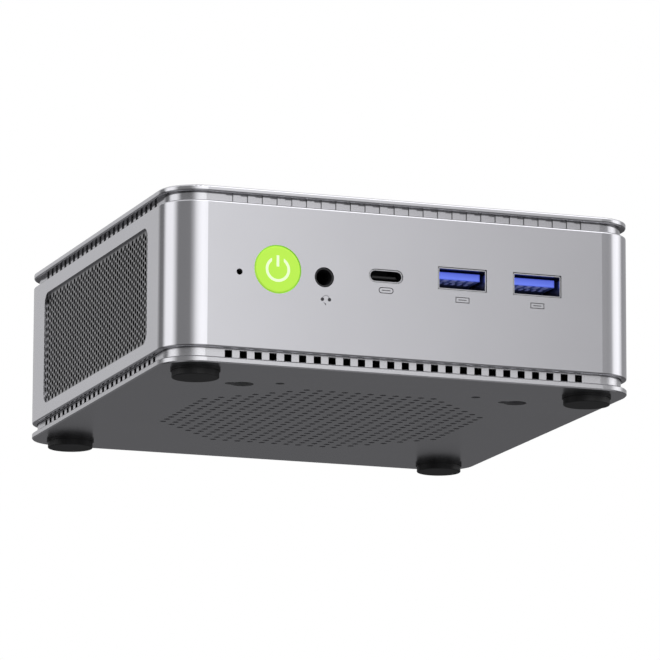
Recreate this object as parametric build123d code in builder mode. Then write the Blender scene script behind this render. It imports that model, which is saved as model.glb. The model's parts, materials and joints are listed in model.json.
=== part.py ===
"""Mini PC: a small desktop computer in a three-part metal case, with its board, coolers and ports.

Millimetres. +Z is up and the origin is at the middle of the footprint, on the surface that the feet
stand on. The front, with the power button, faces -Y. Every size that can be set by itself is a named
value below, and everything that fits to it is worked out from it.
"""

import os
from math import radians, sin

from build123d import *

os.makedirs("parts", exist_ok=True)

# ---- Case ----
case_width = 127.0
case_depth = 128.8
corner_radius = 10.0
foot_height = 2.3
plate_thickness = 1.6
bottom_gap = 2.4  # shadow gap between the bottom plate and the shell
shell_height = 37.7
top_gap = 2.2  # shadow gap between the shell and the lid
lid_thickness = 1.6
gap_recess = 1.5  # how far the slotted rims stand behind the outer faces
shell_wall = 1.3
rim_wall = 1.4
rim_overlap = 2.0  # how far each rim reaches into the shell
edge_round = 0.5
plate_edge_break = 0.3

# ---- Slots in the rims ----
slot_pitch = 3.95
slot_width = 1.95
slot_end_margin = 5.0  # from the last slot to where the corner starts
slot_land = 0.3  # plain metal left between the end of a slot and the shell
top_slot_depth = 0.4

# ---- Feet, posts and case screws ----
post_inset = 10.3  # from the case's sides to each corner post and foot
foot_radius = 6.05
foot_rim_radius = 6.35
foot_rim_height = 0.6
foot_spigot_height = 1.0
foot_edge_round = 0.25
boss_radius = 3.8
post_radius = 3.6
web_thickness = 1.6
screw_radius = 1.5
thread_gap = 0.05  # play around every screw
screw_hole_gap = 0.2
screw_head_radius = 2.5
screw_head_height = 1.6
head_gap = 0.2
head_recess = 3.2
post_screw_depth = 6.0

# ---- Underside ----
vent_pitch = 3.48
vent_hole_radius = 0.88
vent_half_width = 38.6
vent_y = 1.3
keyhole_spacing = 75.0
keyhole_y = -39.0
keyhole_entry_radius = 3.0
keyhole_slot_radius = 1.6
keyhole_run = 3.0
keyhole_shift = 1.8  # the pair stands off the middle by this much
pin_hole_spacing = 53.6
pin_hole_y = -43.0
pin_hole_radius = 1.2

# ---- Side windows and their mesh ----
window_end_margin = 18.9
window_low_margin = 3.6
window_high_margin = 3.9
window_corner_radius = 3.0
mesh_thickness = 0.5
mesh_pitch = 1.84
mesh_hole_radius = 0.74
mesh_border = 1.2
mesh_seat_gap = 0.1
mesh_overrun = 0.3  # how far the holes run on behind the window's edge

# ---- Board ----
boss_height = 19.8  # from the bottom plate to the underside of the board
board_thickness = 1.2
board_margin = 2.5

# ---- Front controls and ports: places along X, and heights above the board ----
port_gap = 0.15  # play between a port's nose and its cut-out
port_recess = 0.2  # how far a port's nose stands behind the outer face
power_x = -34.9
power_rise = 2.45
button_radius = 6.0
button_gap = 0.25
button_flange = 1.1
button_flange_thickness = 0.8
button_travel = 0.6
button_edge_round = 0.35
symbol_radius = 2.9
symbol_stroke = 0.72
symbol_gap_angle = 66.0
symbol_bar_low = 0.7
symbol_bar_high = 3.6
symbol_depth = 0.3
reset_x = -45.1
reset_rise = 1.1
reset_hole_radius = 0.8
reset_travel = 0.25
jack_x = -22.45
jack_rise = 1.3
jack_nose_radius = 2.45
jack_bore_radius = 1.8
jack_mouth_radius = 2.1  # the bore opens out to this in the nose
jack_bore_length = 12.0
jack_body_width = 6.4
jack_body_length = 14.2
usb_c_x = -5.8
usb_c_rise = 2.8
usb_a_places = {"left": 14.98, "right": 35.53}
usb_a_rise = 3.5

usb_c_width = 8.94
usb_c_height = 3.2
usb_c_length = 8.6
usb_a_width = 13.0
usb_a_height = 5.6
usb_a_length = 14.0
port_shell_wall = 0.25
switch_gap = 0.3  # between a button and the piece it presses, and around each plunger

# ---- Rear ports, along X ----
rear_width = 100.0
rear_flange = 1.2
rear_flange_thickness = 1.0
dc_x = 43.5
rear_usb_x = 30.5
rear_usb_gap = 2.0
lan_x = -1.0
hdmi_x = -20.5
display_x = -39.0
dc_rise = 4.5
lan_rise = 6.7
video_rise = 3.6
lan_width = 16.0
lan_height = 13.4
lan_length = 21.0
lan_opening_width = 11.8
lan_opening_height = 8.0
lan_opening_depth = 13.0
dc_nose_radius = 4.0
dc_bore_radius = 3.15
dc_pin_radius = 1.25
exhaust_pitch = 3.2
exhaust_slot_width = 1.8
exhaust_slot_height = 9.0

# ---- Coolers ----
processor_x = 5.0
processor_y = -6.0
package_height = 1.4
plate_height = 2.2
pipe_width = 6.0
pipe_thickness = 2.8
blower_side = 74.0
blower_height = 9.4
blower_wall = 0.8
rotor_radius = 29.0
blower_blades = 29
fin_pitch = 2.0
fin_thickness = 0.3
fin_stack_width = 76.0
fin_stack_depth = 20.0
fan_y = -2.0
fan_side = 80.0
fan_height = 9.0
fan_hub_radius = 14.0
fan_blades = 9
fan_blade_gap = 0.8
axle_radius = 1.2
axle_gap = 0.05

# ---- Memory, drive, wireless card and coin cell: places from the middle ----
memory_x = 0.0
memory_y = 8.0
memory_width = 67.6
memory_length = 30.0
drive_x = 48.0
drive_y = -6.0
wireless_x = -48.0
wireless_y = 16.0
cell_x = -46.5
cell_y = -30.0

# ---- Fan bracket and the lid's supports ----
bracket_rise = 9.6  # from the board's top to the bracket's underside
bracket_thickness = 1.0
bracket_arm = 3.8
small_screw_radius = 1.0
small_head_radius = 1.9
small_head_height = 1.2
small_screw_length = 5.0
lid_boss_radius = 4.2

# ---- Levels, from the surface up ----
plate_top = foot_height + plate_thickness
shell_bottom = plate_top + bottom_gap
shell_top = shell_bottom + shell_height
lid_bottom = shell_top + top_gap
board_bottom = plate_top + boss_height
board_top = board_bottom + board_thickness
bracket_bottom = board_top + bracket_rise
bracket_top = bracket_bottom + bracket_thickness

rear_usb_places = {"outer": rear_usb_x, "inner": rear_usb_x - usb_a_width - rear_usb_gap}

# ---- Outlines ----
half_width = case_width / 2
half_depth = case_depth / 2
inner_width = case_width - 2 * shell_wall
inner_depth = case_depth - 2 * shell_wall
inner_radius = corner_radius - shell_wall
rim_width = case_width - 2 * gap_recess
rim_depth = case_depth - 2 * gap_recess
rim_radius = corner_radius - gap_recess
post_x = half_width - post_inset
post_y = half_depth - post_inset
window_length = case_depth - 2 * window_end_margin
window_height = shell_height - window_low_margin - window_high_margin
window_z = shell_bottom + window_low_margin + window_height / 2

front_face = Plane.XZ.offset(half_depth)
front_inside = Plane.XZ.offset(inner_depth / 2)
rear_face = Plane.XZ.offset(-half_depth)
rear_inside = Plane.XZ.offset(-inner_depth / 2)


def save(builder, name):
    """Labels a finished piece and writes it as parts/NAME.step."""
    builder.part.label = name
    export_step(builder.part, f"parts/{name}.step")


def slot_count(side, radius):
    """How many rim slots fit along a side, with one of them in its middle."""
    half_run = side / 2 - radius - slot_end_margin
    return 2 * int(half_run / slot_pitch) + 1


slots_across = slot_count(case_width, corner_radius)
slots_along = slot_count(case_depth, corner_radius)


def cut_rim_slots(level, height, depth):
    """Cuts a row of upright slots into all four sides of a rim, from its outer face inward."""
    middle = level + height / 2
    with Locations((0, 0, middle)):
        with GridLocations(slot_pitch, rim_depth - depth, slots_across, 2):
            Box(slot_width, depth, height, mode=Mode.SUBTRACT)
        with GridLocations(rim_width - depth, slot_pitch, 2, slots_along):
            Box(depth, slot_width, height, mode=Mode.SUBTRACT)


def add_rim(level, height):
    """Adds the ring that stands behind the shadow gap and reaches into the shell."""
    with BuildSketch(Plane.XY.offset(level)) as ring:
        RectangleRounded(rim_width, rim_depth, rim_radius)
        RectangleRounded(
            rim_width - 2 * rim_wall,
            rim_depth - 2 * rim_wall,
            rim_radius - rim_wall,
            mode=Mode.SUBTRACT,
        )
    extrude(ring.sketch, amount=height)


def pierced_face(outline, plane, places, radius):
    """A flat face inside an outline on a plane, with a round hole at each (across, up) place."""
    rims = []
    for across, up in places:
        centre = plane.from_local_coords((across, up, 0))
        rims.append(Wire.make_circle(radius, Plane(centre, x_dir=plane.x_dir, z_dir=plane.z_dir)))
    return Face(outline, rims)


def corner_places():
    """The four corner posts' places."""
    return GridLocations(2 * post_x, 2 * post_y, 2, 2)


# ======== Case ========

# The vent holes stand in a square grid that fills a regular octagon.
vent_steps = int(vent_half_width / vent_pitch)
vent_corner_steps = round(vent_steps * 2**0.5)
vent_places = [
    (i * vent_pitch, vent_y + j * vent_pitch)
    for i in range(-vent_steps, vent_steps + 1)
    for j in range(-vent_steps, vent_steps + 1)
    if abs(i) + abs(j) <= vent_corner_steps
]

plate_plane = Plane.XY.offset(foot_height)
with BuildSketch(plate_plane) as plate_outline:
    RectangleRounded(case_width, case_depth, corner_radius)
plate_face = pierced_face(
    plate_outline.sketch.face().outer_wire(), plate_plane, vent_places, vent_hole_radius
)

# The bottom plate carries a slotted rim and four tall bosses that the board rests on.
with BuildPart() as bottom_cover:
    extrude(plate_face, amount=plate_thickness)
    plate_faces = bottom_cover.faces().filter_by(Axis.Z).sort_by(Axis.Z)
    chamfer(
        plate_faces[0].outer_wire().edges() + plate_faces[-1].outer_wire().edges(),
        length=plate_edge_break,
    )
    add_rim(plate_top, bottom_gap + rim_overlap)
    cut_rim_slots(plate_top, bottom_gap - slot_land, rim_wall)
    with BuildSketch(Plane.XY.offset(plate_top)):
        with corner_places():
            Circle(boss_radius)
    extrude(amount=boss_height)
    with BuildSketch(Plane.XY.offset(foot_height)):
        with corner_places():
            Circle(screw_radius + screw_hole_gap)
    extrude(amount=plate_thickness + boss_height, mode=Mode.SUBTRACT)
    with BuildSketch(Plane.XY.offset(foot_height)):
        with corner_places():
            Circle(screw_head_radius + head_gap)
    extrude(amount=head_recess, mode=Mode.SUBTRACT)
    with BuildSketch(Plane.XY.offset(foot_height)):
        with Locations(
            (keyhole_shift - keyhole_spacing / 2, keyhole_y),
            (keyhole_shift + keyhole_spacing / 2, keyhole_y),
        ):
            Circle(keyhole_entry_radius)
            with Locations((-keyhole_run / 2, 0)):
                Rectangle(keyhole_run, 2 * keyhole_slot_radius)
            with Locations((-keyhole_run, 0)):
                Circle(keyhole_slot_radius)
        with Locations((-pin_hole_spacing / 2, pin_hole_y), (pin_hole_spacing / 2, pin_hole_y)):
            Circle(pin_hole_radius)
    extrude(amount=plate_thickness, mode=Mode.SUBTRACT)
save(bottom_cover, "bottom_cover")

# The shell is the upright band between the two shadow gaps. Four corner posts hang inside it.
with BuildPart() as main_shell:
    with BuildSketch(Plane.XY.offset(shell_bottom)):
        RectangleRounded(case_width, case_depth, corner_radius)
    extrude(amount=shell_height)
    fillet(main_shell.faces().filter_by(Axis.Z).edges(), radius=edge_round)
    with BuildSketch(Plane.XY.offset(shell_bottom)):
        RectangleRounded(inner_width, inner_depth, inner_radius)
    extrude(amount=shell_height, mode=Mode.SUBTRACT)
    with BuildSketch(Plane.XY.offset(board_top)):
        with corner_places():
            Circle(post_radius)
        with GridLocations(post_x + half_width - shell_wall / 2, 2 * post_y, 2, 2):
            Rectangle(half_width - shell_wall / 2 - post_x, web_thickness)
        with GridLocations(2 * post_x, post_y + half_depth - shell_wall / 2, 2, 2):
            Rectangle(web_thickness, half_depth - shell_wall / 2 - post_y)
    extrude(amount=bracket_rise)
    with BuildSketch(Plane.XY.offset(board_top)):
        with corner_places():
            Circle(screw_radius + thread_gap)
    extrude(amount=post_screw_depth, mode=Mode.SUBTRACT)
    with BuildSketch(Plane.XY.offset(bracket_bottom)):
        with corner_places():
            Circle(small_screw_radius + thread_gap)
    extrude(amount=-(small_screw_length - bracket_thickness), mode=Mode.SUBTRACT)
    with BuildSketch(Plane.YZ):
        with Locations((0, window_z)):
            RectangleRounded(window_length, window_height, window_corner_radius)
    extrude(amount=case_width, both=True, mode=Mode.SUBTRACT)
    with BuildSketch(Plane.YZ.offset(inner_width / 2 - 1)):
        with Locations((0, window_z)):
            RectangleRounded(
                window_length + 2 * (mesh_border + mesh_seat_gap),
                window_height + 2 * (mesh_border + mesh_seat_gap),
                window_corner_radius + mesh_border,
            )
    extrude(amount=1 + mesh_thickness, mode=Mode.SUBTRACT)
    with BuildSketch(Plane.YZ.offset(1 - inner_width / 2)):
        with Locations((0, window_z)):
            RectangleRounded(
                window_length + 2 * (mesh_border + mesh_seat_gap),
                window_height + 2 * (mesh_border + mesh_seat_gap),
                window_corner_radius + mesh_border,
            )
    extrude(amount=-(1 + mesh_thickness), mode=Mode.SUBTRACT)
    with BuildSketch(rear_face):
        with Locations((0, window_z)):
            RectangleRounded(rear_width, window_height, window_corner_radius)
    extrude(amount=shell_wall, both=True, mode=Mode.SUBTRACT)
    with BuildSketch(front_inside):
        with Locations((power_x, board_top + power_rise)):
            Circle(button_radius + button_gap)
        with Locations((reset_x, board_top + reset_rise)):
            Circle(reset_hole_radius)
        with Locations((jack_x, board_top + jack_rise)):
            Circle(jack_nose_radius + port_gap)
        with Locations((usb_c_x, board_top + usb_c_rise)):
            SlotOverall(usb_c_width + 2 * port_gap, usb_c_height + 2 * port_gap)
        for place in usb_a_places.values():
            with Locations((place, board_top + usb_a_rise)):
                Rectangle(usb_a_width + 2 * port_gap, usb_a_height + 2 * port_gap)
    extrude(amount=shell_wall, mode=Mode.SUBTRACT)
save(main_shell, "main_shell")

# The lid has the same outline, a rim that drops into the shell, and four legs on the fan bracket.
with BuildPart() as top_lid:
    with BuildSketch(Plane.XY.offset(lid_bottom)):
        RectangleRounded(case_width, case_depth, corner_radius)
    extrude(amount=lid_thickness)
    fillet(top_lid.faces().filter_by(Axis.Z).edges(), radius=edge_round)
    add_rim(shell_top - rim_overlap, rim_overlap + top_gap)
    cut_rim_slots(shell_top, top_gap, top_slot_depth)
    with BuildSketch(Plane.XY.offset(bracket_top)):
        with corner_places():
            Circle(lid_boss_radius)
            Circle(small_head_radius + head_gap, mode=Mode.SUBTRACT)
    extrude(amount=lid_bottom - bracket_top)
    with BuildSketch(Plane.XY.offset(shell_top - rim_overlap)):
        with corner_places():
            Circle(small_head_radius + head_gap)
    extrude(amount=rim_overlap + top_gap, mode=Mode.SUBTRACT)
save(top_lid, "top_lid")

# ---- Side mesh ----
mesh_columns = int((window_length / 2 + mesh_overrun - mesh_hole_radius) / (mesh_pitch * sin(radians(60))))
mesh_rows = int((window_height / 2 + mesh_overrun - mesh_hole_radius) / (mesh_pitch / 2))
mesh_places = [
    (column * mesh_pitch * sin(radians(60)), window_z + row * mesh_pitch / 2)
    for column in range(-mesh_columns, mesh_columns + 1)
    for row in range(-mesh_rows, mesh_rows + 1)
    if (column + row) % 2 == 0
]
for side, name in ((-1, "left_mesh"), (1, "right_mesh")):
    mesh_plane = Plane.YZ.offset(side * inner_width / 2)
    with BuildSketch(mesh_plane) as mesh_outline:
        with Locations((0, window_z)):
            RectangleRounded(
                window_length + 2 * mesh_border,
                window_height + 2 * mesh_border,
                window_corner_radius + mesh_border - mesh_seat_gap,
            )
    mesh_wire = mesh_outline.sketch.face().outer_wire()
    mesh_face = pierced_face(mesh_wire, mesh_plane, mesh_places, mesh_hole_radius)
    with BuildPart() as mesh:
        extrude(mesh_face, amount=mesh_thickness, dir=(side, 0, 0))
    save(mesh, name)

# ---- Feet ----
for row, y in (("front", -post_y), ("rear", post_y)):
    for side, x in (("left", -post_x), ("right", post_x)):
        with BuildPart() as foot:
            with Locations((x, y, foot_height / 2)):
                Cylinder(foot_radius, foot_height)
            fillet(foot.edges().sort_by(Axis.Z)[0], radius=foot_edge_round)
            with Locations((x, y, foot_height - foot_rim_height / 2)):
                Cylinder(foot_rim_radius, foot_rim_height)
            with Locations((x, y, foot_height + foot_spigot_height / 2)):
                Cylinder(screw_head_radius, foot_spigot_height)
        save(foot, f"foot_{row}_{side}")

# ---- Case screws: up through the bosses and the board into the corner posts ----
screw_seat = foot_height + head_recess
screw_tip = board_top + post_screw_depth - 0.5
with BuildPart() as case_screws:
    with BuildSketch(Plane.XY.offset(screw_seat)):
        with corner_places():
            Circle(screw_head_radius)
    extrude(amount=-screw_head_height)
    with BuildSketch(Plane.XY.offset(screw_seat - screw_head_height)):
        with corner_places():
            RegularPolygon(screw_radius, 6)
    extrude(amount=1, mode=Mode.SUBTRACT)
    with BuildSketch(Plane.XY.offset(screw_seat)):
        with corner_places():
            Circle(screw_radius)
    extrude(amount=screw_tip - screw_seat)
save(case_screws, "case_screws")

# ======== Board ========

board_front = -(inner_depth / 2 - board_margin)
board_rear = -board_front
jack_body_front = -inner_depth / 2 + 0.3


# ---- Power button, the guide around it, and the switch that it presses ----
power_z = board_top + power_rise
inner_front = -inner_depth / 2
flange_front = inner_front + switch_gap
flange_back = flange_front + button_flange_thickness
stem_back = flange_back + 2.4
plunger_front = stem_back + switch_gap
switch_front = plunger_front + 1.4
flange_radius = button_radius + button_flange
with BuildPart() as power_button:
    with BuildSketch(Plane.XZ.offset(-flange_front)):
        with Locations((power_x, power_z)):
            Circle(button_radius)
    extrude(amount=half_depth + flange_front)
    fillet(power_button.edges().sort_by(Axis.Y)[0], radius=button_edge_round)
    with BuildSketch(Plane.XZ.offset(-flange_back)):
        with Locations((power_x, power_z)):
            Circle(flange_radius)
    extrude(amount=button_flange_thickness)
    with BuildSketch(Plane.XZ.offset(-stem_back)):
        with Locations((power_x, power_z)):
            Circle(1.5)
    extrude(amount=stem_back - flange_back)
    with BuildSketch(front_face):
        with Locations((power_x, power_z)):
            Circle(symbol_radius + symbol_stroke / 2)
            Circle(symbol_radius - symbol_stroke / 2, mode=Mode.SUBTRACT)
            with Locations((0, symbol_radius)):
                Rectangle(2 * symbol_radius * sin(radians(symbol_gap_angle / 2)), 2, mode=Mode.SUBTRACT)
            with Locations((0, (symbol_bar_low + symbol_bar_high) / 2)):
                Rectangle(symbol_stroke, symbol_bar_high - symbol_bar_low)
    extrude(amount=-symbol_depth, mode=Mode.SUBTRACT)
save(power_button, "power_button")

with BuildPart() as power_symbol:
    with BuildSketch(front_face.offset(-symbol_depth)):
        with Locations((power_x, power_z)):
            Circle(symbol_radius + symbol_stroke / 2)
            Circle(symbol_radius - symbol_stroke / 2, mode=Mode.SUBTRACT)
            with Locations((0, symbol_radius)):
                Rectangle(2 * symbol_radius * sin(radians(symbol_gap_angle / 2)), 2, mode=Mode.SUBTRACT)
            with Locations((0, (symbol_bar_low + symbol_bar_high) / 2)):
                Rectangle(symbol_stroke, symbol_bar_high - symbol_bar_low)
    extrude(amount=symbol_depth)
save(power_symbol, "power_symbol")

with BuildPart() as button_guide:
    with BuildSketch(front_inside):
        with Locations((power_x, power_z)):
            Circle(flange_radius + switch_gap + 1.4)
            Circle(flange_radius + switch_gap, mode=Mode.SUBTRACT)
    extrude(amount=-(board_front - inner_front - 0.2))
save(button_guide, "button_guide")

with BuildPart() as power_switch:
    with Locations((power_x, switch_front + 2, board_top + 2.15)):
        Box(6.2, 4, 4.3)
    with Locations((power_x, switch_front + 0.75, power_z)):
        Box(3, 1.5, 2.2, mode=Mode.SUBTRACT)
save(power_switch, "power_switch")

with BuildPart() as power_plunger:
    with Locations((power_x, (plunger_front + switch_front + 0.8) / 2, power_z)):
        Box(2.4, switch_front + 0.8 - plunger_front, 1.6)
save(power_plunger, "power_switch_plunger")

reset_z = board_top + reset_rise
with BuildPart() as reset_switch:
    with Locations((reset_x, board_front + 2, board_top + 1.1)):
        Box(4.4, 3, 2.2)
    with Locations((reset_x, board_front + 0.95, reset_z)):
        Box(2.2, 0.9, 1.6, mode=Mode.SUBTRACT)
save(reset_switch, "reset_switch")

with BuildPart() as reset_plunger:
    with Locations((reset_x, board_front + 0.2, reset_z)):
        Box(1.6, 1.6, 1.0)
save(reset_plunger, "reset_switch_plunger")

# ---- Headset jack, sunk into a notch in the board ----
jack_z = board_top + jack_rise
nose_front = -half_depth + port_recess
with BuildPart() as headset_jack:
    with BuildSketch(Plane.XZ.offset(-nose_front)):
        with Locations((jack_x, jack_z)):
            Circle(jack_nose_radius)
    extrude(amount=-(jack_body_front - nose_front))
    with Locations((jack_x, jack_body_front + jack_body_length / 2, jack_z)):
        Box(jack_body_width, jack_body_length, 2 * jack_nose_radius)
    with Locations((jack_x, jack_body_front + 6, board_top + 0.3)):
        Box(jack_body_width + 4, 3, 0.6)
    with BuildSketch(Plane.XZ.offset(-nose_front)):
        with Locations((jack_x, jack_z)):
            Circle(jack_bore_radius)
    extrude(amount=-(jack_body_front - nose_front + jack_bore_length), mode=Mode.SUBTRACT)
    with BuildSketch(Plane.XZ.offset(-nose_front)):
        with Locations((jack_x, jack_z)):
            Circle(jack_mouth_radius)
    with BuildSketch(Plane.XZ.offset(-jack_body_front)):
        with Locations((jack_x, jack_z)):
            Circle(jack_bore_radius)
    loft(mode=Mode.SUBTRACT)
save(headset_jack, "headset_jack")


leg_places = []


def save_socket(name, place, sizes, tongue, end=-1, round_ends=False):
    """A metal socket shell and the plastic base and tongue inside it, facing one end of the case.

    place is (x, z); sizes are (width, height, length); tongue is (width, thickness, offset up, reach).
    """
    x, z = place
    width, height, length = sizes
    tongue_width, tongue_thickness, tongue_up, tongue_reach = tongue
    nose = end * (half_depth - port_recess)
    back = nose - end * length
    mouth = Plane((x, nose, z), x_dir=(1, 0, 0), z_dir=(0, end, 0))
    if end > 0:
        mouth = Plane((x, nose, z), x_dir=(-1, 0, 0), z_dir=(0, end, 0))
    with BuildSketch(mouth) as outside:
        if round_ends:
            SlotOverall(width, height)
        else:
            RectangleRounded(width, height, 0.4)
    with BuildSketch(mouth) as inside:
        if round_ends:
            SlotOverall(width - 2 * port_shell_wall, height - 2 * port_shell_wall)
        else:
            Rectangle(width - 2 * port_shell_wall, height - 2 * port_shell_wall)
    with BuildPart() as socket:
        extrude(outside.sketch, amount=-length)
        extrude(inside.sketch, amount=-length, mode=Mode.SUBTRACT)
        leg_height = z - height / 2 - board_bottom + 0.8
        for side in (-1, 1):
            leg_x = x + side * (width / 2 - port_shell_wall / 2 - 0.6 * round_ends)
            for run in (0.45, 0.85):
                leg_y = nose - end * length * run
                leg_places.append((leg_x, leg_y))
                with Locations((leg_x, leg_y, z - height / 2 + 0.3 - leg_height / 2)):
                    Box(port_shell_wall, 1.2, leg_height)
        with Locations((x, back + end * 1.25, z - height / 2)):
            Box(width * 0.6 + 0.2, 2.7, 1, mode=Mode.SUBTRACT)
    save(socket, f"{name}_shell")
    with BuildPart() as core:
        with Locations((x, back + end * 1.25, z)):
            Box(width - 2 * port_shell_wall - height * round_ends, 2.5, height - 2 * port_shell_wall)
        with Locations((x, back + end * (tongue_reach + 2.5) / 2, z + tongue_up)):
            Box(tongue_width, tongue_reach + 2.5, tongue_thickness)
        chamfer(core.faces().sort_by(Axis.Y)[0 if end < 0 else -1].edges(), length=0.15)
        if z - height / 2 > board_top:
            with Locations((x, back + end * 1.25, (board_top + z - height / 2 + 0.25) / 2)):
                Box(width * 0.6, 2.5, z - height / 2 + 0.25 - board_top)
    save(core, f"{name}_tongue")


save_socket(
    "front_usb_c",
    (usb_c_x, board_top + usb_c_rise),
    (usb_c_width, usb_c_height, usb_c_length),
    (6.7, 0.7, 0, 4.6),
    round_ends=True,
)
for side, place in usb_a_places.items():
    save_socket(
        f"front_usb_a_{side}",
        (place, board_top + usb_a_rise),
        (usb_a_width, usb_a_height, usb_a_length),
        (11.1, 1.9, 1.1, 9.6),
    )


# ---- Rear sockets ----
for side, place in rear_usb_places.items():
    save_socket(
        f"rear_usb_a_{side}",
        (place, board_top + usb_a_rise),
        (usb_a_width, usb_a_height, usb_a_length),
        (11.1, 1.9, 1.1, 9.6),
        end=1,
    )


def video_profile(width, height, left_cut, right_cut, cut_height):
    """The outline of a display socket: a rectangle with its lower corners cut off aslant."""
    return [
        (-width / 2, height / 2),
        (width / 2, height / 2),
        (width / 2, cut_height - height / 2),
        (width / 2 - right_cut, -height / 2),
        (left_cut - width / 2, -height / 2),
        (-width / 2, cut_height - height / 2),
    ]


video_sockets = {
    "hdmi": (hdmi_x, 14.9, 5.5, 2.0, 2.0, 2.0),
    "display": (display_x, 16.9, 5.7, 2.0, 0.01, 2.2),
}
for name, (x, width, height, left_cut, right_cut, cut_height) in video_sockets.items():
    z = board_top + video_rise
    mouth = Plane((x, half_depth - port_recess, z), x_dir=(-1, 0, 0), z_dir=(0, 1, 0))
    wall = port_shell_wall
    with BuildPart() as socket:
        with BuildSketch(mouth):
            Polygon(*video_profile(width, height, left_cut, right_cut, cut_height), align=None)
        extrude(amount=-11)
        with BuildSketch(mouth):
            Polygon(
                *video_profile(width - 2 * wall, height - 2 * wall, left_cut, right_cut, cut_height),
                align=None,
            )
        extrude(amount=-11, mode=Mode.SUBTRACT)
        for side in (-1, 1):
            leg_x = x + side * (width / 2 - wall / 2)
            leg_places.append((leg_x, half_depth - 7))
            with Locations((leg_x, half_depth - 7, (z + board_bottom - 0.8) / 2)):
                Box(wall, 1.2, z - board_bottom + 0.8)
        with Locations((x, half_depth - port_recess - 10, z - height / 2)):
            Box(width - 5.8, 2.2, 1, mode=Mode.SUBTRACT)
    save(socket, f"{name}_shell")
    with BuildPart() as core:
        with Locations((x, half_depth - port_recess - 10, z + 0.9)):
            Box(width - 2 * wall - 0.4, 2, height - 2 * wall - 2)
        with Locations((x, half_depth - port_recess - 6, z + 0.3)):
            Box(width - 5.0, 8, 1.2)
        with Locations((x, half_depth - port_recess - 10, (board_top + z) / 2)):
            Box(width - 6, 2, z - board_top)
    save(core, f"{name}_tongue")

lan_z = board_top + lan_rise
lan_front = half_depth - port_recess
with BuildPart() as lan_socket:
    with Locations((lan_x, lan_front - lan_length / 2, lan_z)):
        Box(lan_width, lan_length, lan_height)
    with Locations((lan_x, lan_front - lan_opening_depth / 2, lan_z + 0.9)):
        Box(lan_opening_width, lan_opening_depth, lan_opening_height, mode=Mode.SUBTRACT)
    with Locations((lan_x, lan_front - lan_opening_depth / 2, lan_z - 3.9)):
        Box(6.0, lan_opening_depth, 2.0, mode=Mode.SUBTRACT)
    with Locations((lan_x - 6.6, lan_front, lan_z - 5), (lan_x + 6.6, lan_front, lan_z - 5)):
        Box(1.6, 0.6, 1.6, mode=Mode.SUBTRACT)
save(lan_socket, "lan_socket")

with BuildPart() as lan_contacts:
    with Locations((lan_x, lan_front - lan_opening_depth + 2.6, lan_z + 4.3)):
        with GridLocations(1.02, 1, 8, 1):
            Box(0.45, 5.2, 1.2)
save(lan_contacts, "lan_contacts")

dc_z = board_top + dc_rise
dc_nose = Plane.XZ.offset(-(half_depth - port_recess))
with BuildPart() as dc_jack:
    with Locations((dc_x, inner_depth / 2 - rear_flange_thickness - 0.3 - 5.5, dc_z)):
        Box(9, 11, 9)
    with BuildSketch(dc_nose):
        with Locations((dc_x, dc_z)):
            Circle(dc_nose_radius)
    extrude(amount=3)
    with BuildSketch(dc_nose):
        with Locations((dc_x, dc_z)):
            Circle(dc_bore_radius)
    extrude(amount=10, mode=Mode.SUBTRACT)
save(dc_jack, "dc_jack")

with BuildPart() as dc_pin:
    with BuildSketch(dc_nose.offset(1.2)):
        with Locations((dc_x, dc_z)):
            Circle(dc_pin_radius)
    extrude(amount=8.8)
    fillet(dc_pin.edges().sort_by(Axis.Y)[-1], radius=0.4)
save(dc_pin, "dc_jack_pin")

# ---- The board itself, with a slot for every socket leg ----
with BuildPart() as motherboard:
    with BuildSketch(Plane.XY.offset(board_bottom)):
        RectangleRounded(
            inner_width - 2 * board_margin,
            inner_depth - 2 * board_margin,
            inner_radius - board_margin,
        )
        with corner_places():
            Circle(screw_radius + screw_hole_gap, mode=Mode.SUBTRACT)
        with Locations((jack_x, board_front)):
            Rectangle(
                jack_body_width + 0.4,
                2 * (jack_body_front + jack_body_length - board_front) + 0.4,
                mode=Mode.SUBTRACT,
            )
        with Locations(*leg_places):
            Rectangle(port_shell_wall + 0.4, 1.6, mode=Mode.SUBTRACT)
    extrude(amount=board_thickness)
save(motherboard, "motherboard")

# ---- Rear panel ----
exhaust_z = window_z - window_height / 2 + 2.6 + exhaust_slot_height / 2
with BuildPart() as rear_panel:
    with BuildSketch(rear_inside):
        with Locations((0, window_z)):
            RectangleRounded(rear_width - 0.2, window_height - 0.2, window_corner_radius)
    extrude(amount=-(shell_wall - 0.3))
    with BuildSketch(rear_inside):
        with Locations((0, window_z)):
            RectangleRounded(
                rear_width + 2 * rear_flange,
                window_height + 2 * rear_flange,
                window_corner_radius + rear_flange,
            )
    extrude(amount=rear_flange_thickness)
    with BuildSketch(rear_face):
        with Locations((dc_x, dc_z)):
            Circle(dc_nose_radius + port_gap)
        for place in rear_usb_places.values():
            with Locations((place, board_top + usb_a_rise)):
                Rectangle(usb_a_width + 2 * port_gap, usb_a_height + 2 * port_gap)
        with Locations((lan_x, lan_z)):
            Rectangle(lan_width + 2 * port_gap, lan_height + 2 * port_gap)
        for x, width, height, *cuts in video_sockets.values():
            with Locations((x, board_top + video_rise)):
                Rectangle(width + 2 * port_gap, height + 2 * port_gap)
        with Locations((0, exhaust_z)):
            with GridLocations(exhaust_pitch, 1, int((rear_width - 8) / exhaust_pitch), 1):
                SlotOverall(exhaust_slot_height, exhaust_slot_width, rotation=90)
    extrude(amount=shell_wall + rear_flange_thickness, mode=Mode.SUBTRACT)
save(rear_panel, "rear_panel")

# ======== Under the board: processor and its cooler ========

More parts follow.
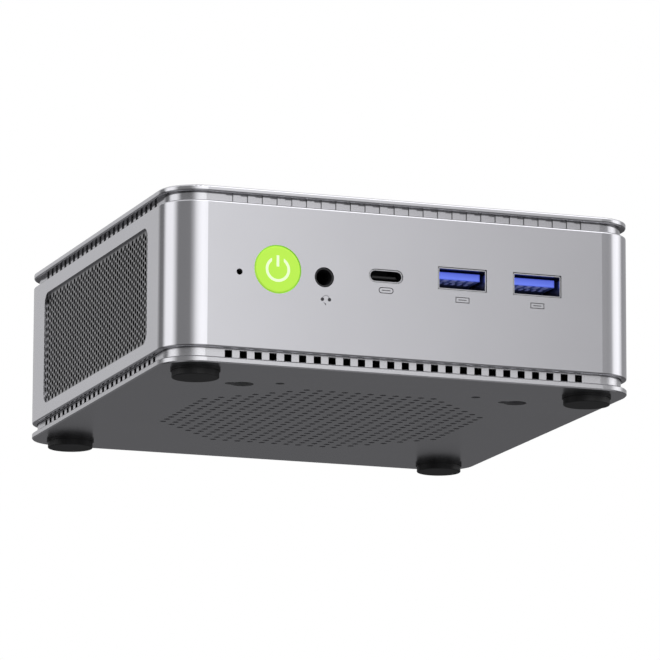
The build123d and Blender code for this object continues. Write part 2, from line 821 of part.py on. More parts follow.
with BuildPart() as processor:
    with Locations((processor_x, processor_y, board_bottom - 0.4)):
        Box(30, 26, 0.8)
    with Locations((processor_x, processor_y, board_bottom - 0.8 - (package_height - 0.8) / 2)):
        Box(14, 11, package_height - 0.8)
save(processor, "processor")

cold_top = board_bottom - package_height
cold_bottom = cold_top - plate_height
with BuildPart() as cold_plate:
    with BuildSketch(Plane.XY.offset(cold_bottom)):
        with Locations((processor_x, processor_y)):
            RectangleRounded(38, 36, 2)
    extrude(amount=plate_height)
save(cold_plate, "cold_plate")

pipe_bottom = cold_bottom - pipe_thickness
fin_top = pipe_bottom
fin_y = board_rear - fin_stack_depth / 2
with BuildPart() as heat_pipes:
    with BuildSketch(Plane.XY.offset(pipe_bottom)):
        for side in (-1, 1):
            with BuildLine():
                Polyline(
                    (processor_x + side * 5, processor_y - 16),
                    (processor_x + side * 5, processor_y + 22),
                    (side * 12, fin_y),
                    (side * (fin_stack_width / 2 - 4), fin_y),
                )
            trace(line_width=pipe_width)
    extrude(amount=pipe_thickness)
save(heat_pipes, "heat_pipes")

fin_bottom = plate_top + 2.6
with BuildPart() as fin_stack:
    with Locations((0, fin_y, fin_top - 0.3)):
        Box(fin_stack_width, fin_stack_depth, 0.6)
    with Locations((0, fin_y, fin_bottom + 0.2)):
        Box(fin_stack_width, fin_stack_depth, 0.4)
    with Locations((0, fin_y, (fin_top + fin_bottom) / 2)):
        with GridLocations(fin_pitch, 1, int(fin_stack_width / fin_pitch), 1):
            Box(fin_thickness, fin_stack_depth, fin_top - fin_bottom)
save(fin_stack, "fin_stack")

blower_y = board_rear - fin_stack_depth - 1 - blower_side / 2
blower_bottom = plate_top + 2.2
blower_top = blower_bottom + blower_height
lug = blower_side / 2 - 3
with BuildPart() as blower_housing:
    with BuildSketch(Plane.XY.offset(blower_bottom)):
        with Locations((0, blower_y)):
            RectangleRounded(blower_side, blower_side, 6)
    extrude(amount=blower_height)
    with BuildSketch(Plane.XY.offset(blower_bottom + blower_wall)):
        with Locations((0, blower_y)):
            Circle(rotor_radius + 5)
            with Locations((0, blower_side / 4)):
                Rectangle(2 * rotor_radius + 6, blower_side / 2)
    extrude(amount=blower_height - 2 * blower_wall, mode=Mode.SUBTRACT)
    with BuildSketch(Plane.XY.offset(blower_bottom)):
        with Locations((0, blower_y)):
            Circle(rotor_radius - 4)
    extrude(amount=blower_wall, mode=Mode.SUBTRACT)
    with BuildSketch(Plane.XY.offset(blower_top)):
        with Locations((0, blower_y)):
            Circle(axle_radius)
    extrude(amount=-(blower_height - 2.6))
    with BuildSketch(Plane.XY.offset(blower_top)):
        with Locations((0, blower_y)):
            with GridLocations(2 * lug, 2 * lug, 2, 2):
                Circle(2.4)
    extrude(amount=board_bottom - blower_top)
save(blower_housing, "blower_housing")

rotor_bottom = blower_bottom + blower_wall + 0.4
rotor_height = blower_height - 2 * blower_wall - 0.8
with BuildPart() as blower_rotor:
    with Locations((0, blower_y, rotor_bottom + rotor_height / 2)):
        Cylinder(fan_hub_radius, rotor_height)
    with Locations((0, blower_y, rotor_bottom + rotor_height / 2)):
        with PolarLocations((fan_hub_radius + rotor_radius) / 2 - 0.5, blower_blades):
            with Locations(Location((0, 0, 0), (0, 0, 18))):
                Box(rotor_radius - fan_hub_radius, 0.7, rotor_height)
    with BuildSketch(Plane.XY.offset(rotor_bottom + rotor_height / 2 - 0.4)):
        with Locations((0, blower_y)):
            Circle(rotor_radius - 1)
            Circle(rotor_radius - 3, mode=Mode.SUBTRACT)
    extrude(amount=0.8)
    with BuildSketch(Plane.XY.offset(rotor_bottom + 1)):
        with Locations((0, blower_y)):
            Circle(axle_radius + axle_gap)
    extrude(amount=rotor_height, mode=Mode.SUBTRACT)
save(blower_rotor, "blower_rotor")

# ======== On the board ========

card_z = board_top + 2.4
with BuildPart() as memory_socket:
    with Locations((memory_x, memory_y - memory_length / 2, board_top + 4.1)):
        Box(memory_width + 4, 6, 8.2)
    for side in (-1, 1):
        with Locations((memory_x + side * (memory_width / 2 + 1.2), memory_y - 5, board_top + 4.1)):
            Box(1.6, 24, 8.2)
    for level in (card_z, card_z + 4):
        with Locations((memory_x, memory_y - memory_length / 2 + 1.5, level)):
            Box(memory_width + 0.2, 3.2, 1.2, mode=Mode.SUBTRACT)
save(memory_socket, "memory_socket")

for name, level in (("lower", card_z), ("upper", card_z + 4)):
    with BuildPart() as module:
        with Locations((memory_x, memory_y, level)):
            Box(memory_width, memory_length, 1)
        with Locations((memory_x, memory_y + 3, level + 0.8)):
            with GridLocations(16, 1, 4, 1):
                Box(10, 12, 0.8)
    save(module, f"memory_module_{name}")

cards = {
    "drive": (drive_x, drive_y, 80.0),
    "wireless_card": (wireless_x, wireless_y, 30.0),
}
for name, (x, y, length) in cards.items():
    with BuildPart() as slot:
        with Locations((x, y + length / 2 + 2, board_top + 2.1)):
            Box(22, 6, 4.2)
        with Locations((x, y + length / 2, card_z)):
            Box(22.4, 2.4, 1.0, mode=Mode.SUBTRACT)
    save(slot, f"{name}_socket")
    with BuildPart() as card:
        with Locations((x, y, card_z)):
            Box(22 - 0.2, length, 0.8)
        with Locations((x, y + length / 2 - 12, card_z + 0.9)):
            Box(16, 14, 1)
        if length > 40:
            with Locations((x, y - 2, card_z + 0.9), (x, y - 20, card_z + 0.9)):
                Box(12, 14, 1)
        with Locations((x, y - length / 2, card_z)):
            Cylinder(1.4, 2, mode=Mode.SUBTRACT)
    save(card, name)

stand = card_z - 0.4 - board_top
with BuildPart() as card_screws:
    for x, y, length in cards.values():
        with Locations((x, y - length / 2, board_top + stand / 2)):
            Cylinder(2.4, stand)
        with Locations((x, y - length / 2, card_z + 0.4 + 0.5)):
            Cylinder(2.4, 1)
        with Locations((x, y - length / 2, card_z)):
            Cylinder(1.2, 1.2)
        with Locations((x, y - length / 2, card_z + 1.3)):
            Box(0.5, 2.4, 0.6, mode=Mode.SUBTRACT)
            Box(2.4, 0.5, 0.6, mode=Mode.SUBTRACT)
save(card_screws, "card_screws")

with BuildPart() as cell_holder:
    with Locations((cell_x, cell_y, board_top + 1.6)):
        Cylinder(11.6, 3.2)
    with Locations((cell_x, cell_y, board_top + 2.2)):
        Cylinder(10.1, 3.2, mode=Mode.SUBTRACT)
    with Locations((cell_x, cell_y + 11, board_top + 2.4)):
        Box(8, 6, 3.4, mode=Mode.SUBTRACT)
save(cell_holder, "cell_holder")

with BuildPart() as coin_cell:
    with Locations((cell_x, cell_y, board_top + 0.6 + 1.6)):
        Cylinder(10, 3.2)
    fillet(coin_cell.faces().sort_by(Axis.Z)[-1].edges(), radius=0.4)
save(coin_cell, "coin_cell")

with BuildPart() as power_stage:
    with Locations((0, -28, board_top + 1.5)):
        with GridLocations(8.6, 1, 5, 1):
            Box(6.6, 6.6, 3)
    chamfer(power_stage.edges().filter_by(Axis.Z), length=0.6)
    with Locations((0, -36, board_top + 2.5)):
        with GridLocations(8.6, 1, 5, 1):
            Cylinder(2.5, 5)
save(power_stage, "power_stage")

with BuildPart() as chips:
    chip_y = board_rear - 25
    with Locations((2, chip_y, board_top + 0.6)):
        Box(9, 9, 1.2)
    with Locations((-22, board_front + 17, board_top + 0.5), (-30, chip_y + 2, board_top + 0.5)):
        Box(7, 7, 1)
    with Locations((24, chip_y + 6, board_top + 0.5)):
        Box(5, 6, 1)
save(chips, "chips")

# ======== Over the board: bracket and case fan ========

with BuildPart() as fan_bracket:
    with BuildSketch(Plane.XY.offset(bracket_bottom)):
        with Locations((0, fan_y)):
            RectangleRounded(fan_side + 4, fan_side + 4, 6)
        for side in (-1, 1):
            for end in (-1, 1):
                with BuildLine():
                    Line((side * fan_side / 2.4, end * fan_side / 2.4), (side * post_x, end * post_y))
                trace(line_width=2 * bracket_arm)
        with corner_places():
            Circle(bracket_arm)
        with Locations((0, fan_y)):
            Circle(fan_side / 2 - 5, mode=Mode.SUBTRACT)
        with corner_places():
            Circle(small_screw_radius + screw_hole_gap, mode=Mode.SUBTRACT)
    extrude(amount=bracket_thickness)
save(fan_bracket, "fan_bracket")

with BuildPart() as bracket_screws:
    with BuildSketch(Plane.XY.offset(bracket_top)):
        with corner_places():
            Circle(small_head_radius)
    extrude(amount=small_head_height)
    with BuildSketch(Plane.XY.offset(bracket_top + small_head_height)):
        with corner_places():
            Rectangle(2.4, 0.5)
            Rectangle(0.5, 2.4)
    extrude(amount=-0.6, mode=Mode.SUBTRACT)
    with BuildSketch(Plane.XY.offset(bracket_top)):
        with corner_places():
            Circle(small_screw_radius)
    extrude(amount=-(small_screw_length - 0.3))
save(bracket_screws, "bracket_screws")

fan_hole = fan_side / 2 - 2
with BuildPart() as fan_frame:
    with BuildSketch(Plane.XY.offset(bracket_top)):
        with Locations((0, fan_y)):
            RectangleRounded(fan_side, fan_side, 5)
            Circle(fan_hole, mode=Mode.SUBTRACT)
    extrude(amount=fan_height)
    with BuildSketch(Plane.XY.offset(bracket_top)):
        with Locations((0, fan_y)):
            Circle(fan_hub_radius)
            Rectangle(2 * fan_hole + 1, 3)
            Rectangle(3, 2 * fan_hole + 1)
    extrude(amount=1)
    with BuildSketch(Plane.XY.offset(bracket_top)):
        with Locations((0, fan_y)):
            Circle(axle_radius)
    extrude(amount=fan_height - 2)
save(fan_frame, "fan_frame")

blade_outer = fan_hole - fan_blade_gap
fan_rotor_bottom = bracket_top + 1.4
fan_rotor_height = fan_height - 2
with BuildPart() as fan_rotor:
    with Locations((0, fan_y, fan_rotor_bottom + fan_rotor_height / 2)):
        Cylinder(fan_hub_radius, fan_rotor_height)
        with PolarLocations((fan_hub_radius + blade_outer) / 2 - 0.6, fan_blades):
            with Locations(Location((0, 0, 0), (52, 0, 0))):
                Box(blade_outer - fan_hub_radius, 1, fan_rotor_height + 1)
    with BuildSketch(Plane.XY.offset(fan_rotor_bottom)):
        with Locations((0, fan_y)):
            Circle(axle_radius + axle_gap)
    extrude(amount=fan_rotor_height - 1, mode=Mode.SUBTRACT)
save(fan_rotor, "fan_rotor")
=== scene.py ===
import json
import math

import bmesh
import bpy
from mathutils import Matrix, Vector


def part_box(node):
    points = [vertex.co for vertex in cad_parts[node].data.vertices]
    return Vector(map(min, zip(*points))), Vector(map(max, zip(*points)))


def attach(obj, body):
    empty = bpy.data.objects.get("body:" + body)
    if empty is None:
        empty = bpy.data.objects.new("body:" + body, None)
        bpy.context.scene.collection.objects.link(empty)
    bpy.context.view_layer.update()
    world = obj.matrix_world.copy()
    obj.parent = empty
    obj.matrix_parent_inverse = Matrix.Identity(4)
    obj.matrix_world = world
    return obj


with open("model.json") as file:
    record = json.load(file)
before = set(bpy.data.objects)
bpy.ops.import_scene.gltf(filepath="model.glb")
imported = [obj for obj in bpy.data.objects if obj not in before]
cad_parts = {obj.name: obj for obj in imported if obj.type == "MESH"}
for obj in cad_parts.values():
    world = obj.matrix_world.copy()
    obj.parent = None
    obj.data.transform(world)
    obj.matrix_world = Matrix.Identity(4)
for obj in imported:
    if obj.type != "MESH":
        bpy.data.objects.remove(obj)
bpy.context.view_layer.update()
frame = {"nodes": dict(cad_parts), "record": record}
nodes = frame["nodes"]
MM = 0.001

# ---- Values ----
# Surfaces
cloud_scale = 60  # the slow wander of a colour
cloud_ends = (0.3, 0.7)
cloud_detail, speck_detail = 4, 2
roughness_spread, least_roughness = 0.05, 0.02
bump_depth = 0.05 * MM

# Masks by place and by facing
rim_zone = 4.5 * MM  # the rims' slots lie within this distance of the lid's outline
lid_edge_height = 1.58 * MM  # from the lid's top down to where its gap begins
plate_margin = 16 * MM  # the bottom plate's holes lie further in from the outline than this
# Where the painted shade on the blue tongues is darkest and where it ends
tongue_dark, tongue_lit = 53.5 * MM, 61.2 * MM  # from the case's middle, along Y
tongue_dark_share = 0.12
tongue_tip_depth = 0.25 * MM
square_on, edge_on = 0.9, 0.5  # how squarely a surface faces an axis
# How strongly painted shade darkens the lid's rim in its gap, and its underside
gap_painted_shade, underside_painted_shade = 0.12, 0.5

# Print on the front face
ink_thick = 0.02 * MM
stroke = 0.18 * MM
headset_shift, headset_height = 0.45 * MM, 20.6 * MM
band_radius = 0.95 * MM
band_turn, arm_turn = (165, 15), (235, 262)  # degrees
band_stroke, arm_stroke = stroke * 0.5, stroke * 0.6
ear_radius, ear_drop = 0.46 * MM, 0.1 * MM
arm_drop = 0.2 * MM
tip_radius, tip_shift, tip_drop = 0.16 * MM, 0.1 * MM, 1.35 * MM
usb_c_mark_height, usb_c_mark_size = 24.0 * MM, (3.8 * MM, 1.4 * MM)
usb_a_mark_height, usb_a_mark_size = 23.0 * MM, (3.6 * MM, 1.3 * MM)
mark_bar_share = 0.28  # half the middle bar's length, against the mark's width

# USB-A contact pads: (how many, pitch, width, length, distance from the tip to the row's middle), in mm
pad_rows = ((4, 2.3, 1.2, 2.6, 1.7), (5, 1.8, 0.8, 1.5, 5.0))
pad_thick = 0.14 * MM
pad_drop = 2.45 * MM  # from the tongue's top
pad_bevel = 0.03 * MM

# Dark sheets behind the side meshes, painted shade for their holes
screen_setback, screen_thick, screen_bevel = 1.1 * MM, 0.3 * MM, 0.05 * MM
screen_trim_y, screen_trim_z = 3 * MM, 1.6 * MM

# Camera
lens, sensor_width = 300.76, 36
clip_start, clip_end = 0.05, 50
camera_azimuth, camera_elevation, camera_roll = -19.532, -11.307, 0.234  # degrees
camera_place = (-0.47778, -1.35237, -0.26055)

# Floor
floor_reach, floor_height = 8, -2.4

# Light around the object, as (degrees round from +X, brightness)
walls = [
    (-180, 1.2),
    (-172, 0.85),
    (-161, 0.2),
    (-124, 0.2),
    (-114, 0.5),
    (-106, 0.95),
    (-98, 1.2),
    (-88, 1.35),
    (-80, 1.3),
    (-75, 1.15),
    (-70, 0.7),
    (-66.5, 0.34),
    (-60, 0.36),
    (-48, 0.32),
    (-36, 0.42),
    (-28, 1.2),
    (-10, 1.4),
    (4, 0.9),
    (12, 0.3),
    (76, 0.45),
    (100, 0.57),
    (114, 0.57),
    (124, 0.17),
    (142, 0.17),
    (156, 1.15),
    (180, 1.2),
]
# The same for a soft light high up in front
high_walls = [(-180, 0.75), (-120, 0.75), (-100, 2.2), (-40, 2.2), (-20, 0.75), (180, 0.75)]
blue_share = 1.02
# From straight down (0) to straight up (1), where the light from below turns into the walls' light
horizon = (0.47, 0.53)
below_colour = (0.27, 0.27, 0.275, 1)
# Heights of a direction between which the walls turn into the high light, and that into the ceiling
high_span = (0.3, 0.6)
ceiling_span = (0.72, 0.9)
ceiling_colour = (0.75, 0.75, 0.77, 1)
white = (1, 1, 1, 1)


# ---- Shader steps ----
def feed(tree, socket, value):
    """Gives a socket a value, or a link if the value is itself a socket."""
    if isinstance(value, bpy.types.NodeSocket):
        tree.links.new(value, socket)
    else:
        socket.default_value = value


def mix_colours(tree, factor, a, b, blend="MIX"):
    """Blends two colours by a factor."""
    mix = tree.nodes.new("ShaderNodeMix")
    mix.data_type = "RGBA"
    mix.blend_type = blend
    for key, value in (("Factor", factor), ("A", a), ("B", b)):
        feed(tree, mix.inputs[key], value)
    return mix.outputs["Result"]


def map_range(tree, value, low, high, start=0.0):
    """Maps a value's span from low to high onto the span from start to 1."""
    node = tree.nodes.new("ShaderNodeMapRange")
    node.inputs["From Min"].default_value = low
    node.inputs["From Max"].default_value = high
    node.inputs["To Min"].default_value = start
    tree.links.new(value, node.inputs["Value"])
    return node.outputs["Result"]


# ---- Materials ----
def material(name, colour, roughness, metallic=0.0, grain=0.0, grain_size=4000.0, tint=0.05, **sockets):
    """A surface whose colour and roughness wander a little, with a fine bump."""
    m = bpy.data.materials.new(name)
    m.use_nodes = True
    n, l = m.node_tree.nodes, m.node_tree.links
    b = n["Principled BSDF"]
    where = n.new("ShaderNodeTexCoord").outputs["Object"]
    cloud = n.new("ShaderNodeTexNoise")
    cloud.inputs["Scale"].default_value = cloud_scale
    cloud.inputs["Detail"].default_value = cloud_detail
    l.new(where, cloud.inputs["Vector"])
    ramp = n.new("ShaderNodeValToRGB")
    dark, light = ramp.color_ramp.elements[0], ramp.color_ramp.elements[1]
    dark.position, light.position = cloud_ends
    dark.color = [c * (1 - tint) for c in colour] + [1]
    light.color = [min(1, c * (1 + tint)) for c in colour] + [1]
    l.new(cloud.outputs["Fac"], ramp.inputs["Fac"])
    l.new(ramp.outputs["Color"], b.inputs["Base Color"])
    speck = n.new("ShaderNodeTexNoise")
    speck.inputs["Scale"].default_value = grain_size
    speck.inputs["Detail"].default_value = speck_detail
    l.new(where, speck.inputs["Vector"])
    rough = n.new("ShaderNodeMapRange")
    rough.inputs["To Min"].default_value = max(least_roughness, roughness - roughness_spread)
    rough.inputs["To Max"].default_value = roughness + roughness_spread
    l.new(speck.outputs["Fac"], rough.inputs["Value"])
    l.new(rough.outputs["Result"], b.inputs["Roughness"])
    if grain:
        bump = n.new("ShaderNodeBump")
        bump.inputs["Strength"].default_value = grain
        bump.inputs["Distance"].default_value = bump_depth
        l.new(speck.outputs["Fac"], bump.inputs["Height"])
        l.new(bump.outputs["Normal"], b.inputs["Normal"])
    b.inputs["Metallic"].default_value = metallic
    for key, value in sockets.items():
        b.inputs[key.replace("_", " ")].default_value = value
    return m


satin = dict(metallic=0.9, grain=0.008, grain_size=14000.0, tint=0.012)
looks = {
    "shell_metal": material("shell_metal", (0.745, 0.742, 0.768), 0.15, **satin),
    "lid_metal": material("lid_metal", (0.765, 0.762, 0.786), 0.16, **satin),
    "base_metal": material("base_metal", (0.73, 0.727, 0.745), 0.24, **satin),
    "mesh_metal": material("mesh_metal", (0.42, 0.42, 0.425), 0.35, metallic=0.8, grain=0.05),
    "foot_rubber": material("foot_rubber", (0.02, 0.02, 0.02), 0.5, grain=0.12, grain_size=9000.0, tint=0.2),
    # The button's emission is painted light that brightens its green
    "button_green": material(
        "button_green",
        (0.58, 1.0, 0.09),
        0.45,
        grain=0.06,
        tint=0.03,
        Specular_IOR_Level=0.1,
        Emission_Color=(0.58, 1.0, 0.12, 1),
        Emission_Strength=0.3,
    ),
    # The symbol's emission is painted light that brightens it
    "symbol_pale": material(
        "symbol_pale",
        (0.8, 1.0, 0.6),
        0.3,
        Emission_Color=(0.8, 1.0, 0.6, 1),
        Emission_Strength=0.5,
    ),
    # tongue_blue's emission is painted light, lit only at the tongues' tips further down
    "tongue_blue": material(
        "tongue_blue",
        (0.22, 0.33, 1.0),
        0.35,
        grain=0.05,
        Emission_Strength=0.4,
    ),
    "tongue_black": material("tongue_black", (0.012, 0.012, 0.012), 0.45, grain=0.1),
    "socket_metal": material("socket_metal", (0.6, 0.6, 0.62), 0.25, metallic=1.0, grain=0.1),
    "black_plastic": material("black_plastic", (0.02, 0.02, 0.021), 0.5, grain=0.3, tint=0.15),
    "rotor_plastic": material("rotor_plastic", (0.02, 0.02, 0.022), 0.42, grain=0.2, tint=0.15),
    "board_laminate": material("board_laminate", (0.01, 0.035, 0.022), 0.4, grain=0.2, tint=0.3),
    "copper": material("copper", (0.72, 0.36, 0.22), 0.3, metallic=1.0, grain=0.1, tint=0.1),
    "fin_aluminium": material("fin_aluminium", (0.7, 0.7, 0.71), 0.32, metallic=1.0, grain=0.1),
    "bracket_steel": material("bracket_steel", (0.5, 0.5, 0.51), 0.38, metallic=1.0, grain=0.15),
    "bright_steel": material("bright_steel", (0.66, 0.66, 0.65), 0.22, metallic=1.0, grain=0.05),
    "contact_gold": material("contact_gold", (0.85, 0.6, 0.22), 0.28, metallic=1.0, grain=0.05),
}
ink = material("print_grey", (0.05, 0.05, 0.055), 0.6, grain=0.1)


def calc(look, operation, a, b=0.0):
    """One step of arithmetic between sockets or numbers."""
    step = look.node_tree.nodes.new("ShaderNodeMath")
    step.operation = operation
    for socket, value in zip(step.inputs, (a, b)):
        feed(look.node_tree, socket, value)
    return step.outputs[0]


def both(look, a, b):
    """A mask that holds where both of two masks do. A number in place of a mask weakens the other."""
    return calc(look, "MULTIPLY", a, b)


def place_and_facing(look):
    """Where a spot lies and which way it faces.

    Gives the distance from the middle along X and Y, the height, and how squarely it faces each axis.
    """
    n, l = look.node_tree.nodes, look.node_tree.links
    here = n.new("ShaderNodeTexCoord")
    spot = n.new("ShaderNodeSeparateXYZ")
    face = n.new("ShaderNodeSeparateXYZ")
    l.new(here.outputs["Object"], spot.inputs[0])
    l.new(here.outputs["Normal"], face.inputs[0])
    place = {
        "far_x": calc(look, "ABSOLUTE", spot.outputs["X"]),
        "far_y": calc(look, "ABSOLUTE", spot.outputs["Y"]),
        "height": spot.outputs["Z"],
    }
    facing = {k: calc(look, "ABSOLUTE", face.outputs[k]) for k in "XYZ"}
    return place, facing


def recolour(look, mask, colour, metallic=None):
    """Where the mask is 1, the surface takes another colour, and another share of metal if one is given."""
    tree = look.node_tree
    b = tree.nodes["Principled BSDF"]
    before = b.inputs["Base Color"].links[0].from_socket
    tree.links.new(mix_colours(tree, mask, before, (*colour, 1)), b.inputs["Base Color"])
    if metallic is not None:
        start = b.inputs["Metallic"].default_value
        change = calc(look, "MULTIPLY", mask, metallic - start)
        tree.links.new(calc(look, "ADD", change, start), b.inputs["Metallic"])


# Painted shade: the blue tongues are painted darker from the case's outer faces towards its middle.
look = looks["tongue_blue"]
tree = look.node_tree
place, facing = place_and_facing(look)
plain = tree.nodes["Principled BSDF"].inputs["Base Color"].links[0].from_socket
shade = map_range(tree, place["far_y"], tongue_dark, tongue_lit, tongue_dark_share)
shaded = mix_colours(tree, shade, (0.0, 0.0, 0.003, 1), plain)
tree.links.new(shaded, tree.nodes["Principled BSDF"].inputs["Base Color"])

# Painted light: the tongues' moulded tips glow blue by emission, standing in for the light they catch from
# outside.
tongue_tip = -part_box("front_usb_a_left_tongue")[0].y
tip = calc(look, "GREATER_THAN", place["far_y"], tongue_tip - tongue_tip_depth)
painted_tip_glow = mix_colours(tree, tip, (0, 0, 0, 1), (0.08, 0.13, 1.0, 1))
tree.links.new(painted_tip_glow, tree.nodes["Principled BSDF"].inputs["Emission Color"])

lid_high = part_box("top_lid")[1]
half_x, half_y = lid_high.x, lid_high.y

# Painted shade: the walls of the rims' slots are painted dark and dull beside the polished lands, standing
# in for the shade inside the slots.
for key in ("lid_metal", "base_metal"):
    look = looks[key]
    place, facing = place_and_facing(look)
    ends = both(
        look,
        calc(look, "GREATER_THAN", place["far_y"], half_y - rim_zone),
        calc(look, "GREATER_THAN", facing["X"], square_on),
    )
    sides = both(
        look,
        calc(look, "GREATER_THAN", place["far_x"], half_x - rim_zone),
        calc(look, "GREATER_THAN", facing["Y"], square_on),
    )
    recolour(look, calc(look, "MAXIMUM", ends, sides), (0.15, 0.15, 0.155), metallic=0.2)

# Painted shade: the lid's rim stands back in its gap and is painted darker than the lid, most of all
# underneath.
look = looks["lid_metal"]
place, facing = place_and_facing(look)
in_gap = calc(look, "LESS_THAN", place["height"], lid_high.z - lid_edge_height)
recolour(look, both(look, in_gap, gap_painted_shade), (0.05, 0.05, 0.055))
under = both(look, in_gap, calc(look, "GREATER_THAN", facing["Z"], square_on))
recolour(look, both(look, under, underside_painted_shade), (0.03, 0.03, 0.032))

# Painted shade: the walls of the holes in the bottom plate are painted a flat darker grey without metal,
# which sets how dark the holes read.
look = looks["base_metal"]
place, facing = place_and_facing(look)
inner = both(
    look,
    calc(look, "LESS_THAN", place["far_x"], half_x - plate_margin),
    calc(look, "LESS_THAN", place["far_y"], half_y - plate_margin),
)
walls_of_holes = both(look, inner, calc(look, "LESS_THAN", facing["Z"], edge_on))
recolour(look, walls_of_holes, (0.34, 0.34, 0.35), metallic=0.0)

# Painted shade: the walls of the side meshes' holes are painted near black without metal, so they don't
# glint and the holes read dark.
look = looks["mesh_metal"]
place, facing = place_and_facing(look)
recolour(look, calc(look, "LESS_THAN", facing["X"], edge_on), (0.015, 0.015, 0.015), metallic=0.0)

slot_of = {s["node"]: s["material_slot"] for s in frame["record"]["subparts"]}
for name, ob in nodes.items():
    ob.data.materials.clear()
    ob.data.materials.append(looks[slot_of[name]])


# ---- Small pieces made here ----
def piece(name, build, look, bevel=0.0):
    """Makes a mesh piece with a bmesh builder, gives it a look, and lets it ride on the case."""
    bm = bmesh.new()
    build(bm)
    bmesh.ops.recalc_face_normals(bm, faces=bm.faces)
    mesh = bpy.data.meshes.new(name)
    bm.to_mesh(mesh)
    bm.free()
    ob = bpy.data.objects.new(name, mesh)
    bpy.context.scene.collection.objects.link(ob)
    mesh.materials.append(look)
    if bevel:
        mod = ob.modifiers.new("edges", "BEVEL")
        mod.width = bevel
        mod.segments = 2
    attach(ob, "case")


def slab(bm, centre, size):
    """A box in a bmesh, at a centre, with a size along X, Y and Z."""
    at = Matrix.Translation(Vector(centre)) @ Matrix.Diagonal(Vector((*size, 1)))
    bmesh.ops.create_cube(bm, size=1.0, matrix=at)


def node_centre(name):
    """The middle of a CAD node's box."""
    low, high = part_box(name)
    return (low + high) / 2


front_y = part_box("main_shell")[0].y
jack = node_centre("headset_jack")


def patch(bm, outline):
    """A thin patch of print on the front face, with an outline of (x, z) points."""
    near = [bm.verts.new((x, front_y - ink_thick, z)) for x, z in outline]
    far = [bm.verts.new((x, front_y, z)) for x, z in outline]
    bm.faces.new(near)
    bm.faces.new(far)
    for i in range(len(outline)):
        j = (i + 1) % len(outline)
        bm.faces.new((near[i], near[j], far[j], far[i]))


def line(bm, points, width, closed=False):
    """A printed line of a given width through (x, z) points."""
    count = len(points)
    for i in range(count if closed else count - 1):
        a = Vector(points[i])
        b = Vector(points[(i + 1) % count])
        along = (b - a).normalized()
        side = Vector((-along.y, along.x)) * width / 2
        corners = [a - along * width / 2 + side, b + along * width / 2 + side]
        corners += [b + along * width / 2 - side, a - along * width / 2 - side]
        patch(bm, corners)


def disc(bm, x, z, radius, steps=20):
    """A printed dot."""
    turn = [2 * math.pi * i / steps for i in range(steps)]
    patch(bm, [(x + radius * math.cos(t), z + radius * math.sin(t)) for t in turn])


def arc(cx, cz, r, start, end, steps=14):
    """Points (x, z) on an arc about a centre, from one angle to another in degrees."""
    turn = [math.radians(start + (end - start) * i / steps) for i in range(steps + 1)]
    return [(cx + r * math.cos(t), cz + r * math.sin(t)) for t in turn]


def headset_mark(bm):
    """A headset: the head band, two ear pads, and the microphone on its arm."""
    x, z = jack.x + headset_shift, headset_height
    line(bm, arc(x, z, band_radius, *band_turn), band_stroke)
    for side in (-1, 1):
        disc(bm, x + side * band_radius, z - ear_drop, ear_radius)
    line(bm, arc(x, z - arm_drop, band_radius, *arm_turn, steps=5), arm_stroke)
    disc(bm, x - tip_shift, z - tip_drop, tip_radius)


piece("headset_mark", headset_mark, ink)


def port_mark(name, x, z, size, round_ends):
    """The outline of a plug's mouth with a bar in its middle."""
    width, height = size

    def build(bm):
        w, h = width / 2, height / 2
        if round_ends:
            outline = arc(x + w - h, z, h, -90, 90, 8) + arc(x - w + h, z, h, 90, 270, 8)
        else:
            outline = [(x - w, z - h), (x + w, z - h), (x + w, z + h), (x - w, z + h)]
        line(bm, outline, stroke, closed=True)
        line(bm, [(x - width * mark_bar_share, z), (x + width * mark_bar_share, z)], stroke)

    piece(name, build, ink)


port_mark("usb_c_mark", node_centre("front_usb_c_shell").x, usb_c_mark_height, usb_c_mark_size, True)
for side in ("left", "right"):
    x = node_centre(f"front_usb_a_{side}_shell").x
    port_mark(f"usb_a_{side}_mark", x, usb_a_mark_height, usb_a_mark_size, False)


def contacts(tongue, end):
    """Broad pads near the tip of a USB-A tongue and narrow ones further in, on its underside."""
    low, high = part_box(tongue)
    x = (low.x + high.x) / 2
    tip = low.y if end < 0 else high.y
    pad_z = high.z - pad_drop

    def build(bm):
        for count, pitch, width, length, inward in pad_rows:
            for i in range(count):
                across = x + (i - (count - 1) / 2) * pitch * MM
                along = tip - end * inward * MM
                slab(bm, (across, along, pad_z), (width * MM, length * MM, pad_thick))

    return build


# The pads' emission is painted light that brightens them
pad_metal = material(
    "pad_metal",
    (0.6, 0.66, 1.0),
    0.3,
    metallic=0.3,
    grain=0.05,
    Emission_Color=(0.3, 0.36, 1.0, 1),
    Emission_Strength=0.12,
)
for name, end in (
    ("front_usb_a_left", -1),
    ("front_usb_a_right", -1),
    ("rear_usb_a_outer", 1),
    ("rear_usb_a_inner", 1),
):
    build = contacts(f"{name}_tongue", end)
    piece(f"{name}_contacts", build, pad_metal, bevel=pad_bevel)


# Painted shade: dark sheets just behind the side meshes, which darken the view through their holes
for name, side in (("left", -1), ("right", 1)):
    low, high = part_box(f"{name}_mesh")
    middle = (low + high) / 2
    at = (middle.x - side * screen_setback, 0, middle.z)
    size = (screen_thick, high.y - low.y - screen_trim_y, high.z - low.z - screen_trim_z)

    def screen(bm, at=at, size=size):
        slab(bm, at, size)

    piece(f"{name}_painted_shade_screen", screen, looks["black_plastic"], bevel=screen_bevel)


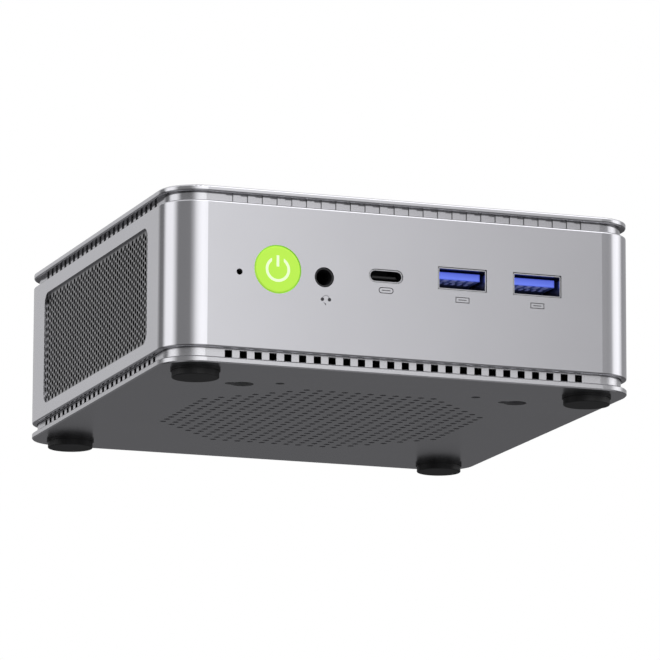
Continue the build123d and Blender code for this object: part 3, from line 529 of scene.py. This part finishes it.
# ---- Camera ----
camera_data = bpy.data.cameras.new("camera")
camera_data.lens = lens
camera_data.sensor_width = sensor_width
camera_data.clip_start = clip_start
camera_data.clip_end = clip_end
camera = bpy.data.objects.new("camera", camera_data)
bpy.context.scene.collection.objects.link(camera)
azimuth, elevation, roll = (math.radians(v) for v in (camera_azimuth, camera_elevation, camera_roll))
back = Vector(
    (
        math.sin(azimuth) * math.cos(elevation),
        -math.cos(azimuth) * math.cos(elevation),
        math.sin(elevation),
    )
)
right = (-back).cross(Vector((0, 0, 1))).normalized()
up = right.cross(-back)
right, up = (
    math.cos(roll) * right + math.sin(roll) * up,
    math.cos(roll) * up - math.sin(roll) * right,
)
camera.rotation_mode = "QUATERNION"
camera.rotation_quaternion = Matrix((right, up, back)).transposed().to_quaternion()
camera.location = camera_place
bpy.context.scene.camera = camera

# ---- Floor ----
floor_mesh = bpy.data.meshes.new("floor")
corner_signs = ((-1, -1), (1, -1), (1, 1), (-1, 1))
corners = [(sx * floor_reach, sy * floor_reach, floor_height) for sx, sy in corner_signs]
floor_mesh.from_pydata(corners, [], [(0, 1, 2, 3)])
floor = bpy.data.objects.new("floor", floor_mesh)
bpy.context.scene.collection.objects.link(floor)
floor_mesh.materials.append(material("floor", (0.8, 0.8, 0.8), 0.9, tint=0.0))
floor.visible_glossy = False
floor.visible_diffuse = False

# ---- Light ----
world = bpy.data.worlds.new("studio")
bpy.context.scene.world = world
bpy.context.scene.view_settings.view_transform = "Standard"
world.use_nodes = True
tree = world.node_tree
tree.nodes.clear()
direction = tree.nodes.new("ShaderNodeSeparateXYZ")
tree.links.new(tree.nodes.new("ShaderNodeTexCoord").outputs["Generated"], direction.inputs[0])
turn = tree.nodes.new("ShaderNodeMath")
turn.operation = "ARCTAN2"
tree.links.new(direction.outputs["Y"], turn.inputs[0])
tree.links.new(direction.outputs["X"], turn.inputs[1])
round_about = map_range(tree, turn.outputs[0], -math.pi, math.pi)


def ring(stops):
    """Light that changes round about, from (degrees, brightness) stops that run from -180 to 180."""
    node = tree.nodes.new("ShaderNodeValToRGB")
    elements = node.color_ramp.elements
    for degrees, level in stops:
        spot = (degrees + 180) / 360
        e = elements[0] if degrees == -180 else elements[-1] if degrees == 180 else elements.new(spot)
        e.position = spot
        e.color = (level, level, level * blue_share, 1)
    tree.links.new(round_about, node.inputs["Fac"])
    return node.outputs["Color"]


def background(colour):
    """The world's light in a colour."""
    node = tree.nodes.new("ShaderNodeBackground")
    node.inputs["Strength"].default_value = 1.0
    feed(tree, node.inputs["Color"], colour)
    return node.outputs[0]


rise = direction.outputs["Z"]
high_light = mix_colours(tree, map_range(tree, rise, *ceiling_span), ring(high_walls), ceiling_colour)
all_round = mix_colours(tree, map_range(tree, rise, *high_span), ring(walls), high_light)
height = tree.nodes.new("ShaderNodeValToRGB")
low_stop, high_stop = height.color_ramp.elements[0], height.color_ramp.elements[1]
low_stop.position, high_stop.position = horizon
low_stop.color, high_stop.color = below_colour, white
tree.links.new(map_range(tree, rise, -1, 1), height.inputs["Fac"])
studio = background(mix_colours(tree, 1, all_round, height.outputs["Color"], "MULTIPLY"))

# The camera itself sees plain white paper.
choose = tree.nodes.new("ShaderNodeMixShader")
tree.links.new(tree.nodes.new("ShaderNodeLightPath").outputs["Is Camera Ray"], choose.inputs["Fac"])
tree.links.new(studio, choose.inputs[1])
tree.links.new(background(white), choose.inputs[2])
out = tree.nodes.new("ShaderNodeOutputWorld")
tree.links.new(choose.outputs[0], out.inputs["Surface"])
